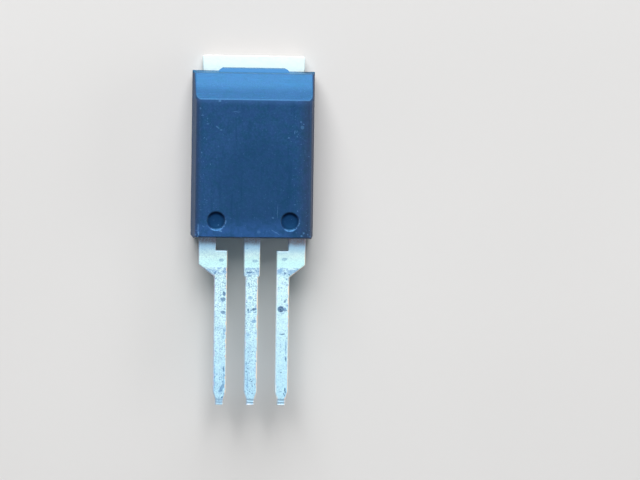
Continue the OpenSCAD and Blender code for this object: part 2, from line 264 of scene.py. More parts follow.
def lathe(name, profile, at):
    """Closed solid turned about Z from (radius, z) points."""
    bm = bmesh.new()
    verts = [bm.verts.new(Vector((r, 0, z)) * MM) for r, z in profile]
    edges = [bm.edges.new(pair) for pair in zip(verts, verts[1:])]
    bmesh.ops.spin(
        bm, geom=verts + edges, cent=(0, 0, 0), axis=(0, 0, 1), angle=2 * math.pi, steps=LATHE_STEPS,
        use_merge=True,
    )
    bmesh.ops.remove_doubles(bm, verts=bm.verts, dist=1e-7)
    bmesh.ops.translate(bm, verts=bm.verts, vec=Vector(at) * MM)
    return mesh_object(name, bm)


def pin_mark_cutter(x):
    """Shallow dish with a flat floor and a sloped wall."""
    floor, above = -MARK_DEPTH, 0.2
    profile = [
        (0, floor), (MARK_FLOOR_R - 0.03, floor), (MARK_FLOOR_R, floor + 0.008),
        (MARK_FLOOR_R + 0.02, floor + 0.03), (MARK_R - 0.01, -0.012), (MARK_R + 0.02, 0.004),
        (MARK_R + 0.3, above), (0, above),
    ]
    return lathe("pin_mark", profile, (x, MARK_Y, CASE_T))


def mark_painted_highlight(obj):
    """Paints a highlight: full strength on the rounding of the bevel's lower edge and corners, a little on
    the tongue's top.
    """
    slope = Vector((0, CASE_T - BEVEL_LOW_Z, BEVEL_Y1 - BEVEL_Y0)).normalized()
    layer = obj.data.attributes.new("painted_highlight", "FLOAT", "FACE")
    for polygon, value in zip(obj.data.polygons, layer.data):
        centre, normal = polygon.center / MM, polygon.normal
        near_edge = abs(centre.y - BEVEL_Y0) < 0.1 and centre.z > CASE_T - 0.1
        near_corner = BEVEL_Y0 - 0.1 < centre.y < BEVEL_Y0 + 0.5 and centre.z > CASE_T - 0.35
        on_corner = near_corner and abs(centre.x) > 4.2
        rounding = normal.angle(slope) > 0.03 and normal.z < 0.9995 and normal.y > 0.1
        over_tab = centre.y > CASE_Y1 - 0.16 and abs(centre.x) < TONGUE_ROOT_W / 2 + 0.2
        if rounding and (near_edge or on_corner):
            value.value = 1.0
        elif over_tab and normal.z > 0.3:
            value.value = 0.2
        else:
            value.value = 0.0


def make_case():
    """The case, hollow where the heat spreader and the leads are, with a hair of space round them."""
    obj = combine(case_body(), [case_tongue()], "UNION")
    gap = POCKET_GAP
    half = PLATE_W / 2 + gap
    outline = rectangle(-half, half, PLATE_Y0 - gap, TAB_Y + PAST)
    pocket = prism("pocket", outline, "z", -PAST, PLATE_T + gap / 2)
    slots = []
    for low, high in ((-EXIT_OUT, -EXIT_IN), (-NECK_W / 2, NECK_W / 2), (EXIT_IN, EXIT_OUT)):
        outline = rectangle(low - gap, high + gap, LEAD_Z - gap, LEAD_TOP_Z + gap)
        slots.append(prism("slot", outline, "y", CASE_Y0 - PAST, CASE_Y0 + SLOT_DEPTH))
    marks = [pin_mark_cutter(-MARK_X), pin_mark_cutter(MARK_X)]
    combine(obj, [pocket] + slots + marks, "DIFFERENCE")
    obj.name = "moulded_case_form"
    mark_painted_highlight(obj)
    return smooth(obj)


# The plated strip metal


def grid_cuts(bm, axis, step):
    """Cuts the mesh by evenly spaced planes, so that it can follow fine lumps."""
    index = "xyz".index(axis)
    values = [v.co[index] for v in bm.verts]
    low, high = min(values), max(values)
    count = max(1, round((high - low) / (step * MM)))
    normal = Vector([float(i == index) for i in range(3)])
    for k in range(1, count):
        cut_along(bm, normal * (low + (high - low) * k / count), normal, dist=1e-7)


def tip_relief(distance):
    """Height of a pinched tip's front at a distance from its end."""
    for (d0, h0), (d1, h1) in zip(TIP_RELIEF, TIP_RELIEF[1:]):
        if d0 <= distance <= d1:
            return h0 + (h1 - h0) * (distance - d0) / (d1 - d0)
    return 0.0


def solder_lumps(x, y, z, seed):
    """Unevenness of the hot-dipped finish, from broad and fine noise."""
    broad = noise.noise(Vector((x * 1.7 + seed, y * 0.8, z * 1.7)))
    fine = noise.noise(Vector((x * 4.5, y * 4.5 + seed, z * 4.5)))
    return broad + 0.6 * fine


def ramp(distance, length):
    """0 up to distance 0, 1 from the length on, even between."""
    return min(1.0, max(0.0, distance / length))


def lead_strip(name, corners, pinch, seed):
    """Flat lead with rolled edges, hot-dipped past the dip line; pinch scales the relief of its tip."""
    obj = prism(name, rounded(corners, 4), "z", LEAD_Z, LEAD_TOP_Z)
    apply_modifier(obj, "BEVEL", bevel_settings(0.1))
    bm = bmesh.new()
    bm.from_mesh(obj.data)
    cut_off(bm, (0, TIP_Y, 0), (0, -1, 0))
    grid_cuts(bm, "y", GRID_Y)
    grid_cuts(bm, "x", GRID_X)
    grid_cuts(bm, "z", GRID_Z)
    for k in range(1, TIP_ROWS + 1):
        cut_along(bm, Vector((0, TIP_Y + TIP_ROW * k, 0)) * MM, (0, 1, 0), dist=1e-7)
    bm.normal_update()
    moves = []
    for vert in bm.verts:
        x, y, z = vert.co / MM
        dipped = ramp(DIP_Y - y + 0.05, 0.12)
        tip = ramp(TIP_Y + 0.5 - y, 0.3)
        thickness = SOLDER_T + SOLDER_LUMP * solder_lumps(x, y, z, seed)
        move = vert.normal * dipped * (1 - tip) * thickness
        if z > LEAD_MID_Z:
            wander = 0.02 * noise.noise(Vector((x * 3, seed, 0)))
            move.z += pinch * tip_relief(y - TIP_Y + wander)
        moves.append(move * MM)
    for vert, move in zip(bm.verts, moves):
        vert.co += move
    bm.to_mesh(obj.data)
    bm.free()
    return obj


def mark_edges(obj):
    """Gives the vertices of the rolled front edges the value 1, which fades over the next row of faces."""
    layer = obj.data.attributes.new("edge", "FLOAT", "POINT")
    for polygon in obj.data.polygons:
        side, up = polygon.normal.x, polygon.normal.z
        if 0.1 < up < 0.96 and (abs(side) > 0.1 or polygon.normal.y > 0.1):
            for index in polygon.vertices:
                layer.data[index].value = 1.0


def shaft_corners(x):
    """Left side of a lead's tapered end, then its right side; it is cut to length later."""
    half, tip = LEAD_W / 2, TIP_W / 2
    tip_start = TIP_Y + TIP_LAND
    taper_start = tip_start + TIP_TAPER
    beyond = TIP_Y - 0.3
    left = [(x - half, taper_start, 0.2), (x - tip, tip_start, 0.1), (x - tip, beyond, 0)]
    right = [(x + tip, beyond, 0), (x + tip, tip_start, 0.1), (x + half, taper_start, 0.2)]
    return left, right


def outer_lead(name, side, post_in, pinch):
    """Outer lead with its bond post inside the case; side is -1 for the gate and 1 for the source."""
    post_y0 = CASE_Y0 + POST_NECK
    inner, outer = LEAD_PITCH - LEAD_W / 2, LEAD_PITCH + LEAD_W / 2
    left, right = shaft_corners(LEAD_PITCH)
    corners = [
        (post_in, post_y0 + POST_L, 0.05), (post_in, post_y0, 0.05), (EXIT_IN, post_y0, 0),
        (EXIT_IN, CASE_Y0 - SHOULDER_L, 0.06), (inner, CASE_Y0 - SHOULDER_L, 0.07),
    ] + left + right + [
        (outer, CASE_Y0 - SHAFT_START, 0.15), (EXIT_OUT, CASE_Y0 - FLANK_L, 0.08), (EXIT_OUT, post_y0, 0),
        (POST_OUT, post_y0, 0.05), (POST_OUT, post_y0 + POST_L, 0.05),
    ]
    corners = [(side * x, y, r) for x, y, r in corners]
    obj = lead_strip(name, corners, pinch, seed=3.1 * side)
    mark_edges(obj)
    return smooth(obj)


def spreader_plate():
    half = PLATE_W / 2
    corners = [(-half, PLATE_Y0, 0.1), (half, PLATE_Y0, 0.1), (half, TAB_Y, 0.14), (-half, TAB_Y, 0.14)]
    plate = prism("plate", rounded(corners, 6), "z", 0, PLATE_T)
    return apply_modifier(plate, "BEVEL", bevel_settings(0.07))


def locking_ledge():
    half = PLATE_W / 2 + LEDGE_OUT
    outline = rectangle(-half, half, PLATE_Y0 - LEDGE_OUT, GROOVE_Y)
    return prism("ledge", outline, "z", LEDGE_Z, LEDGE_Z + LEDGE_T)


def groove_cutter():
    reach = PLATE_W / 2 + LEDGE_OUT + PAST
    outline = [
        (GROOVE_Y - GROOVE_W / 2, PLATE_T), (GROOVE_Y, PLATE_T - GROOVE_DEPTH),
        (GROOVE_Y + GROOVE_W / 2, PLATE_T), (GROOVE_Y, PLATE_T + PAST),
    ]
    return prism("groove", outline, "x", -reach, reach)


def inner_bend():
    """Strip inside the case that steps down from the middle lead to the heat spreader."""
    high_y = CASE_Y0 + BEND_INSET
    low_y = high_y + (LEAD_MID_Z - PLATE_T + LEAD_T / 2) / math.tan(BEND_SLOPE)
    mitre = LEAD_T / 2 * math.tan(BEND_SLOPE / 2)
    outer_r = BEND_R + LEAD_T
    outer_y, foot_y = CASE_Y0 + 0.15, -5.8
    foot_top, foot_low = PLATE_T - 0.005, PLATE_T - LEAD_T
    outline = rounded([
        (foot_y, foot_low, 0), (foot_y, foot_top, 0), (low_y + mitre, foot_top, BEND_R),
        (high_y + mitre, LEAD_TOP_Z, outer_r), (outer_y, LEAD_TOP_Z, 0), (outer_y, LEAD_Z, 0),
        (high_y - mitre, LEAD_Z, BEND_R), (low_y - mitre, foot_low, outer_r),
    ])
    return prism("bend", outline, "x", -NECK_W / 2, NECK_W / 2)


def middle_lead():
    neck, lead = NECK_W / 2, LEAD_W / 2
    inside_y, neck_end = CASE_Y0 + 0.35, CASE_Y0 - NECK_L
    taper_end = neck_end - NECK_TAPER
    left, right = shaft_corners(0)
    before = [(-neck, inside_y, 0), (-neck, neck_end, 0.08), (-lead, taper_end, 0.08)]
    after = [(lead, taper_end, 0.08), (neck, neck_end, 0.08), (neck, inside_y, 0)]
    return lead_strip("middle", before + left + right + after, pinch=1.0, seed=0.0)


def make_header():
    """Heat spreader with its tab and coined ledge, the bend inside the case and the middle lead."""
    obj = combine(spreader_plate(), [locking_ledge(), inner_bend(), middle_lead()], "UNION")
    combine(obj, [groove_cutter()], "DIFFERENCE")
    obj.name = "drain_header_form"
    mark_edges(obj)
    return smooth(obj)


# Materials


class Nodes:
    """The shader of one material; it adds nodes and joins them. Masks run from 0 to 1."""

    def __init__(self, name):
        self.material = bpy.data.materials.new(name)
        self.material.use_nodes = True
        self.tree = self.material.node_tree
        self.shader = self.tree.nodes["Principled BSDF"]

    def add(self, kind, inputs=None, **settings):
        node = self.tree.nodes.new("ShaderNode" + kind)
        for name, value in settings.items():
            setattr(node, name, value)
        for key, value in (inputs or {}).items():
            self.give(node.inputs[key], value)
        return node

    def give(self, socket, value):
        if isinstance(value, bpy.types.NodeSocket):
            self.tree.links.new(value, socket)
        else:
            socket.default_value = value

    def place(self):
        """Place on the part in millimetres."""
        metres = self.add("TexCoord").outputs["Object"]
        return self.add("VectorMath", {0: metres, "Scale": 1 / MM}, operation="SCALE").outputs[0]

    def split(self, vector):
        return self.add("SeparateXYZ", {0: vector}).outputs

    def facing(self):
        """The surface's direction, as x, y and z."""
        return self.split(self.add("NewGeometry").outputs["Normal"])

    def attribute(self, name):
        return self.add("Attribute", attribute_name=name).outputs["Fac"]

    def length(self, vector):
        return self.add("VectorMath", {0: vector}, operation="LENGTH").outputs["Value"]

    def stretched(self, place, factors):
        return self.add("VectorMath", {0: place, 1: factors}, operation="MULTIPLY").outputs[0]

    def math(self, operation, a, b=0.0):
        return self.add("Math", {0: a, 1: b}, operation=operation).outputs[0]

    def chain(self, operation, values):
        result = values[0]
        for value in values[1:]:
            result = self.math(operation, result, value)
        return result

    def times(self, *factors):
        return self.chain("MULTIPLY", factors)

    def plus(self, *terms):
        return self.chain("ADD", terms)

    def most(self, *values):
        return self.chain("MAXIMUM", values)

    def minus(self, a, b):
        return self.math("SUBTRACT", a, b)

    def noise(self, place, scale, detail, roughness):
        inputs = {"Vector": place, "Scale": scale, "Detail": detail, "Roughness": roughness}
        return self.add("TexNoise", inputs).outputs["Fac"]

    def steps(self, value, low, high, out_low=0.0, out_high=1.0):
        """Smooth change from out_low to out_high while the value goes from low to high."""
        inputs = {"Value": value, "From Min": low, "From Max": high, "To Min": out_low, "To Max": out_high}
        return self.add("MapRange", inputs, interpolation_type="SMOOTHSTEP").outputs["Result"]

    def mix(self, factor, a, b):
        node = self.add("Mix", data_type="RGBA")
        self.give(node.inputs["Factor"], factor)
        self.give(node.inputs["A"], a)
        self.give(node.inputs["B"], b)
        return node.outputs["Result"]

    def tint(self, colour, mask, share, target):
        """The colour, moved towards a target by a share of the way where the mask is 1."""
        return self.mix(self.times(mask, share), colour, target)

    def ragged(self, place, scale, reach):
        """The place pushed about by noise, so that what is drawn there gets a ragged outline."""
        push = self.add("TexNoise", {"Vector": place, "Scale": scale, "Detail": 2.0}).outputs["Color"]
        push = self.add("VectorMath", {0: push, 1: (0.5, 0.5, 0.5)}, operation="SUBTRACT").outputs[0]
        spread = (2 * reach, 2 * reach, 0)
        return self.add("VectorMath", {0: push, 1: spread, 2: place}, operation="MULTIPLY_ADD").outputs[0]

    def spots(self, place, rows):
        """Mask of single spots: x, y, turn in degrees, half length, half width and strength of each."""
        total = 0.0
        for x, y, turn, length, width, strength in rows:
            local = self.add("Mapping", {
                "Vector": place, "Location": (x, y, 0), "Rotation": (0, 0, math.radians(turn)),
                "Scale": (length, width, 1000),
            }, vector_type="TEXTURE").outputs[0]
            total = self.most(self.steps(self.length(local), 1.45, 0.9, 0.0, strength), total)
        return total

    def dots(self, place, scale, radius, share):
        """Small round dots, one in a share of the cells of a random grid, each with its own strength."""
        cells = self.add("TexVoronoi", {"Vector": place, "Scale": scale}, voronoi_dimensions="2D")
        red, green, _ = self.split(cells.outputs["Color"])
        dot = self.steps(cells.outputs["Distance"], radius * scale * 1.3, radius * scale * 0.7)
        chosen = self.steps(red, 1 - share, 1 - share * 0.9)
        return self.times(dot, chosen, self.steps(green, 0.0, 1.0, 0.4, 1.0))

    def bump(self, height, strength, distance, under=None):
        inputs = {"Height": height, "Strength": strength, "Distance": distance * MM}
        if under is not None:
            inputs["Normal"] = under
        return self.add("Bump", inputs).outputs["Normal"]

    def finish(self, colour, roughness, normal, **fixed):
        self.give(self.shader.inputs["Base Color"], colour)
        self.give(self.shader.inputs["Roughness"], roughness)
        self.give(self.shader.inputs["Normal"], normal)
        for name, value in fixed.items():
            self.shader.inputs[name.replace("_", " ")].default_value = value
        return self.material


def rgb(red, green, blue):
    """sRGB bytes as a linear colour."""
    def linear(byte):
        value = byte / 255
        return value / 12.92 if value <= 0.04045 else ((value + 0.055) / 1.055) ** 2.4
    return (linear(red), linear(green), linear(blue), 1.0)


# Light scuffs and nicks on the front of the case, as rows for Nodes.spots
SCUFFS = [
    (-4.45, -7.38, 0, 0.05, 0.3, 0.5), (-4.42, -7.81, 0, 0.06, 0.14, 0.8),
    (-4.66, -7.94, 0, 0.06, 0.07, 0.5), (-2.64, -7.6, -15, 0.13, 0.06, 0.8),
    (1.99, -5.96, 0, 0.02, 0.5, 0.35), (1.85, -7.68, -33, 0.36, 0.03, 0.5),
    (0.48, -7.67, 0, 0.12, 0.1, 0.3), (1.62, -6.51, 0, 0.08, 0.08, 0.35),
    (4.14, -7.71, 0, 0.06, 0.06, 0.6), (3.97, -7.95, 0, 0.08, 0.06, 0.6),
    (4.69, -7.98, 0, 0.1, 0.05, 0.45), (3.3, 0.49, 0, 0.03, 0.13, 0.5),
    (3.47, 0.53, 0, 0.03, 0.1, 0.4), (3.91, 0.87, 20, 0.12, 0.14, 0.4),
    (4.01, 1.15, 0, 0.05, 0.05, 0.5), (3.8, 1.31, 0, 0.08, 0.05, 0.4),
    (2.82, 0.01, 30, 0.08, 0.06, 0.4), (3.5, 0.14, 0, 0.05, 0.07, 0.35),
    (-4.38, 2.3, 0, 0.06, 0.08, 0.4), (-4.2, 1.74, 0, 0.1, 0.05, 0.35),
    (-3.76, 1.07, 0, 0.1, 0.05, 0.3), (-2.96, 0.8, -35, 0.15, 0.05, 0.4),
    (-2.68, 0.58, 0, 0.1, 0.06, 0.35), (-1.44, 2.06, 0, 0.3, 0.025, 0.4),
    (-2.81, 2.93, 0, 0.1, 0.08, 0.6), (-2.81, -7.13, 0, 0.05, 0.05, 0.35),
]

# Dark spots, scratches and stains in the plating of each lead, as rows for Nodes.spots
GATE_STAINS = [
    (-2.51, -10.04, 0, 0.17, 0.11, 0.45), (-3.02, -11.11, 0, 0.07, 0.06, 0.8),
    (-2.36, -11.87, 0, 0.09, 0.06, 0.4), (-2.25, -12.79, 10, 0.09, 0.17, 0.9),
    (-2.33, -13.26, 0, 0.16, 0.15, 0.75), (-2.32, -14.32, 0, 0.17, 0.12, 0.7),
    (-2.19, -14.04, 0, 0.06, 0.06, 0.5), (-2.24, -15.91, 0, 0.05, 0.3, 0.4),
    (-2.21, -18.97, 0, 0.05, 0.22, 0.7), (-2.34, -20.52, -25, 0.12, 0.34, 0.6),
    (-2.24, -20.08, 0, 0.06, 0.15, 0.5), (-2.31, -21.29, 30, 0.1, 0.05, 0.8),
    (-2.95, -19.7, 0, 0.03, 1.0, 0.4), (-2.5, -21.6, 0, 0.3, 0.2, 0.1),
    (-2.28, -16.4, -10, 0.05, 0.12, 0.4), (-2.22, -19.6, 0, 0.04, 0.3, 0.4),
]
DRAIN_STAINS = [
    (-0.2, -11.03, 5, 0.2, 0.06, 0.85), (-0.18, -11.3, 0, 0.15, 0.06, 0.5),
    (-0.27, -11.94, 0, 0.05, 0.05, 0.7), (-0.19, -12.04, 0, 0.05, 0.04, 0.7),
    (-0.13, -13.11, 0, 0.14, 0.12, 0.4), (-0.28, -14.1, 0, 0.07, 0.1, 0.8),
    (0.0, -14.12, 0, 0.08, 0.07, 0.6), (0.24, -14.04, 15, 0.16, 0.08, 0.9),
    (0.32, -14.29, 30, 0.09, 0.05, 0.6), (-0.14, -14.27, 0, 0.12, 0.07, 0.35),
    (0.19, -15.03, 0, 0.14, 0.13, 0.5), (0.26, -10.09, 0, 0.2, 0.1, 0.35),
    (-0.4, -9.07, 0, 0.05, 0.05, 0.4), (-0.21, -18.95, 0, 0.05, 0.05, 0.8),
    (-0.34, -19.15, 0, 0.05, 0.07, 0.6), (-0.26, -19.84, 0, 0.05, 0.5, 0.35),
    (0.0, -19.8, 0, 0.045, 0.045, 0.9), (0.09, -19.98, 0, 0.045, 0.045, 0.9),
    (-0.11, -19.96, 0, 0.05, 0.03, 0.7), (-0.17, -16.15, 0, 0.1, 0.05, 0.35),
    (-0.28, -17.2, 0, 0.18, 0.9, 0.04), (-0.3, -19.5, 0, 0.18, 1.1, 0.07),
    (-0.36, -18.5, 0, 0.04, 0.12, 0.5), (-0.33, -20.35, 0, 0.04, 0.1, 0.5),
]
SOURCE_STAINS = [
    (2.66, -9.92, 10, 0.2, 0.11, 0.4), (2.28, -10.85, 0, 0.15, 0.15, 0.2),
    (3.33, -10.94, 20, 0.2, 0.1, 0.15), (2.72, -11.09, 0, 0.06, 0.06, 0.8),
    (3.07, -11.19, -30, 0.09, 0.05, 0.7), (2.85, -11.56, 0, 0.06, 0.07, 0.45),
    (2.87, -12.03, 0, 0.06, 0.05, 0.5), (2.77, -11.84, 0, 0.1, 0.05, 0.3),
    (2.21, -12.26, 0, 0.06, 0.05, 0.5), (2.44, -12.26, 0, 0.09, 0.04, 0.5),
    (2.75, -13.36, 50, 0.15, 0.07, 0.7), (2.41, -14.01, 0, 0.22, 0.21, 1.0),
    (2.73, -14.04, 0, 0.1, 0.15, 0.7), (2.84, -14.12, 0, 0.07, 0.05, 0.8),
    (2.94, -13.73, 0, 0.05, 0.05, 0.6), (2.58, -14.35, 15, 0.15, 0.05, 0.35),
    (2.54, -16.07, 5, 0.2, 0.045, 0.8), (2.86, -17.14, 0, 0.04, 0.45, 0.5),
    (2.87, -18.12, 0, 0.05, 0.15, 0.8), (2.48, -19.21, 0, 0.045, 0.045, 0.9),
    (2.84, -20.71, 5, 0.045, 0.2, 0.85), (2.77, -21.03, 10, 0.045, 0.12, 0.8),
    (2.45, -20.8, 0, 0.12, 0.035, 0.4),
]


def light_flecks(n, place, side, y, face):
    """Fine light flecks, most of them near the corners at the lead end, and the scuffs on the front."""
    corner = n.times(n.steps(side, 3.7, 4.6), n.steps(y, CASE_Y0 + 1.6, CASE_Y0 + 0.5))
    flecks = n.plus(n.noise(place, 9.0, 1, 0.5), n.times(corner, 0.09))
    flecks = n.times(n.steps(flecks, 0.69, 0.78), n.steps(side, 2.2, 4.2, 0.17, 0.4))
    scuffs = n.times(n.spots(n.ragged(place, 6.0, 0.05), SCUFFS), face)
    return n.most(flecks, n.times(n.math("POWER", scuffs, 1.3), 0.85))


def ejector_mark_masks(n, x, y, z, face, grain):
    """Masks of both ejector marks: the sunken floor, painted dark as shade; a painted highlight on the lip's
    lower right; and the painted shade under the upper wall.
    """
    from_mark_x = n.minus(x, n.times(n.math("SIGN", x), MARK_X))
    from_mark_y = n.minus(y, MARK_Y)
    apart = n.length(n.add("CombineXYZ", {0: from_mark_x, 1: from_mark_y}).outputs[0])
    sunken_floor_painted_shade = n.times(n.steps(z, CASE_T - 0.04, CASE_T - 0.1), n.steps(apart, MARK_R, MARK_R - 0.1), face)
    lip_painted_highlight = n.times(n.steps(apart, MARK_R - 0.16, MARK_R - 0.05), n.steps(apart, MARK_R + 0.07, MARK_R - 0.03))
    low_right = n.minus(n.times(from_mark_x, 0.45), n.times(from_mark_y, 0.8))
    lip_painted_highlight = n.times(lip_painted_highlight, n.steps(low_right, 0.0, 0.4), n.steps(grain, 0.4, 0.58, 0.0, 0.5), face)
    floor_edge = n.times(n.steps(apart, 0.4, 0.62), n.steps(apart, MARK_R, 0.68), face)
    shade = n.times(floor_edge, n.steps(y, MARK_Y + 0.1, MARK_Y + 0.55, 0.25, 0.85))
    return sunken_floor_painted_shade, lip_painted_highlight, shade


def mould_material():
    """Epoxy painted dark blue, the blue being a painted reflection of blue sky light on black epoxy: mottled
    and scuffed on the front, brighter and pitted on the bevel.
    """
    n = Nodes("mould_compound")
    place = n.place()
    x, y, z = n.split(place)
    side = n.math("ABSOLUTE", x)
    painted_highlight = n.attribute("painted_highlight")
    cloud = n.noise(place, 0.35, 3, 0.6)
    mottle = n.noise(place, 1.8, 3, 0.6)
    grain = n.noise(place, 7.0, 3, 0.65)
    fine = n.noise(place, 18.0, 2, 0.6)
    drag = n.noise(n.stretched(place, (3.0, 0.3, 1.0)), 1.0, 3, 0.6)
    rub = n.noise(n.stretched(place, (0.5, 6.0, 3.0)), 1.0, 3, 0.6)

    above_end_wall = n.steps(z, BEVEL_LOW_Z - 0.06, BEVEL_LOW_Z)
    on_bevel = n.times(above_end_wall, n.steps(y, BEVEL_Y0 - 0.02, BEVEL_Y0 + 0.02))
    front = n.minus(1.0, on_bevel)
    face = n.times(n.steps(z, CASE_T - 0.4, CASE_T - 0.3), front)
    end_wall = n.steps(y, BEVEL_Y1 - 0.02, BEVEL_Y1 + 0.02)
    right_side_painted_warm_light = n.steps(x, 4.7, 4.8)
    long_edge_painted_shade = n.times(n.most(n.steps(x, 3.3, 4.75), n.steps(x, -4.1, -4.75, 0.0, 0.8)), front)
    sunken_floor_painted_shade, lip_painted_highlight, shade = ejector_mark_masks(n, x, y, z, face, grain)

    # Base tones: their blue is a painted reflection of blue sky light
    colour = n.mix(n.steps(mottle, 0.35, 0.65), rgb(19, 50, 79), rgb(29, 51, 94))
    colour = n.tint(colour, n.steps(cloud, 0.3, 0.7), 0.4, rgb(39, 64, 109))
    colour = n.tint(colour, n.steps(grain, 0.4, 0.7), 0.35, rgb(45, 77, 125))
    middle = n.times(n.spots(place, [(0.4, -4.0, 0, 2.7, 3.4, 1.0)]), face)
    colour = n.tint(colour, middle, 0.4, rgb(12, 34, 66))
    dragged = n.times(n.steps(drag, 0.5, 0.72), front)
    colour = n.tint(colour, dragged, 0.5, rgb(12, 36, 68))
    rubbed = n.times(n.steps(rub, 0.5, 0.7), on_bevel)
    colour = n.tint(colour, rubbed, 0.3, rgb(40, 98, 146))
    pitted = n.times(n.steps(fine, 0.45, 0.68), on_bevel)
    colour = n.tint(colour, pitted, 0.4, rgb(44, 92, 132))
    near_leads = n.times(n.steps(y, CASE_Y0 + 2.0, CASE_Y0 + 0.5), n.steps(x, 3.6, 1.8))
    near_leads = n.times(near_leads, n.steps(mottle, 0.3, 0.6, 0.4, 1.0), face)
    colour = n.tint(colour, near_leads, 0.42, rgb(52, 92, 156))
    below_bevel = n.times(n.steps(y, BEVEL_Y0 - 0.55, BEVEL_Y0), n.steps(y, BEVEL_Y0 + 0.02, BEVEL_Y0), face)
    colour = n.tint(colour, below_bevel, 0.35, rgb(66, 100, 158))
    # Painted shade: the rounded long edges, on the right from x 3.3 on, turn greyer and less blue
    colour = n.tint(colour, long_edge_painted_shade, 0.5, rgb(52, 54, 66))
    # Painted highlight along the rounding of the bevel's lower edge and corners, weaker on the tongue's top
    colour = n.tint(colour, painted_highlight, 0.15, rgb(110, 160, 205))
    # Painted light on the end wall: lighter where it faces up, towards the lamps
    _, _, nz = n.facing()
    end_wall_painted_light = n.mix(n.steps(nz, 0.3, 0.45), rgb(34, 98, 136), rgb(66, 124, 176))
    colour = n.tint(colour, end_wall, 0.7, end_wall_painted_light)
    # Painted warm reflected light on the right side wall
    colour = n.tint(colour, right_side_painted_warm_light, 0.3, rgb(60, 46, 44))
    # Painted shade: the sunken floors of the ejector marks are painted nearly black blue
    colour = n.tint(colour, sunken_floor_painted_shade, 0.95, rgb(3, 23, 63))
    # Light flecks and scuffs, and the painted highlight on the marks' lips
    colour = n.mix(n.most(light_flecks(n, place, side, y, face), lip_painted_highlight), colour, rgb(96, 146, 200))
    colour = n.mix(shade, colour, rgb(0, 8, 34))

    front_half_of_bevel = n.times(on_bevel, n.steps(z, 3.5, 4.15))
    rough = n.plus(
        n.steps(grain, 0.3, 0.7, 0.34, 0.42),
        n.times(front_half_of_bevel, 0.18),
        n.times(n.steps(rub, 0.35, 0.7), on_bevel, 0.05),
        n.times(painted_highlight, -0.04),
        n.times(n.steps(side, 4.68, 4.78), 0.25),
        n.times(end_wall, 0.2),
    )
    dimmed = n.most(n.times(long_edge_painted_shade, 0.4), n.times(end_wall, 0.7), n.times(right_side_painted_warm_light, 0.7), shade)
    n.give(n.shader.inputs["Specular IOR Level"], n.minus(1.0, dimmed))
    normal = n.bump(grain, 0.35, 0.02)
    normal = n.bump(fine, 0.4, 0.006, normal)
    normal = n.bump(n.times(rub, on_bevel), 0.3, 0.01, normal)
    return n.finish(colour, rough, normal, Specular_Tint=(0.1, 0.5, 1.0, 1.0), IOR=1.5)


def pinch_lines_painted_shade(n, ragged_y):
    """Painted shade along the two lines across a pinched tip, where its relief slopes away from the light."""
    lines = []
    for from_end, outer, inner in ((0.44, 0.09, 0.03), (0.23, 0.07, 0.02)):
        away = n.math("ABSOLUTE", n.minus(ragged_y, TIP_Y + from_end))
        lines.append(n.steps(away, outer, inner))
    return n.most(*lines)


